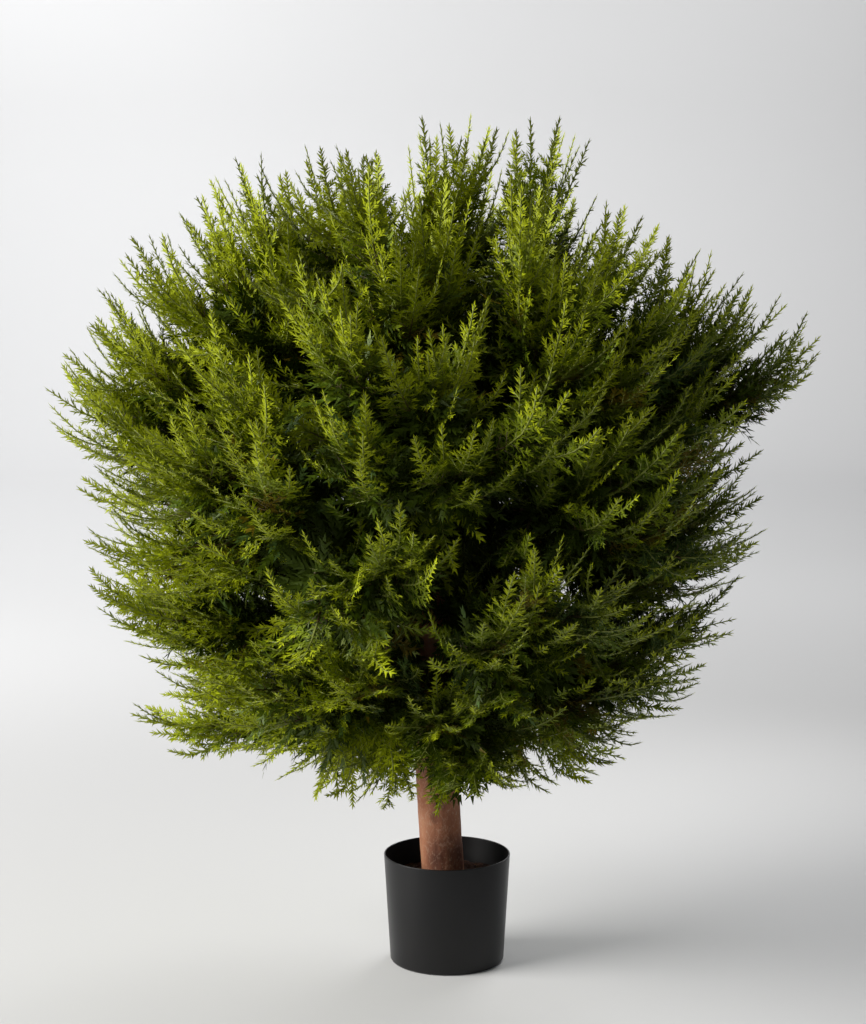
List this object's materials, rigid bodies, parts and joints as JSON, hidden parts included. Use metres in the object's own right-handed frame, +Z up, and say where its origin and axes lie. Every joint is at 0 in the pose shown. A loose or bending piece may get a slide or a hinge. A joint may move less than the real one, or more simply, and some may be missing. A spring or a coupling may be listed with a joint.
{
  "type": "artificial conifer ball tree",
  "caption": "Artificial standard topiary: a loose ball of plastic conifer sprays on a leaning wooden pole, cemented in a plain round pot",
  "frame": {"origin": "middle of the pot's flat underside", "axes": "+Z up the tree, front of the tree faces -Y, the pole leans towards -X"},
  "size_m": [0.8893, 0.8179, 0.9969],
  "materials": {
    "pot": "satin black moulded plastic",
    "cement": "rough grey cement",
    "topping": "matted dark red-brown fibre",
    "trunk": "smooth red-brown bark, mottled with paler flecks, lightly sealed",
    "bough": "brown plastic sleeve over wire",
    "foliage": "satin moulded soft plastic sprays, yellow-green tips to deep green"
  },
  "bodies": {
    "root": {"pot": "pot", "cement": "cement", "topping": "topping", "trunk": "trunk", "bough_top": "bough", "bough_upper_1": "bough", "bough_upper_2": "bough", "bough_upper_3": "bough", "bough_upper_4": "bough", "bough_upper_5": "bough", "bough_upper_6": "bough", "bough_middle_1": "bough", "bough_middle_2": "bough", "bough_middle_3": "bough", "bough_middle_4": "bough", "bough_middle_5": "bough", "bough_middle_6": "bough", "bough_middle_7": "bough", "bough_waist_1": "bough", "bough_waist_2": "bough", "bough_waist_3": "bough", "bough_waist_4": "bough", "bough_waist_5": "bough", "bough_waist_6": "bough", "bough_waist_7": "bough", "bough_lower_1": "bough", "bough_lower_2": "bough", "bough_lower_3": "bough", "bough_lower_4": "bough", "bough_lower_5": "bough", "bough_lower_6": "bough", "bough_lower_7": "bough", "mass_top": "foliage", "mass_upper_1": "foliage", "mass_upper_2": "foliage", "mass_upper_3": "foliage", "mass_upper_4": "foliage", "mass_upper_5": "foliage", "mass_upper_6": "foliage", "mass_middle_1": "foliage", "mass_middle_2": "foliage", "mass_middle_3": "foliage", "mass_middle_4": "foliage", "mass_middle_5": "foliage", "mass_middle_6": "foliage", "mass_middle_7": "foliage", "mass_waist_1": "foliage", "mass_waist_2": "foliage", "mass_waist_3": "foliage", "mass_waist_4": "foliage", "mass_waist_5": "foliage", "mass_waist_6": "foliage", "mass_waist_7": "foliage", "mass_lower_1": "foliage", "mass_lower_2": "foliage", "mass_lower_3": "foliage", "mass_lower_4": "foliage", "mass_lower_5": "foliage", "mass_lower_6": "foliage", "mass_lower_7": "foliage"}
  },
  "joints": []
}
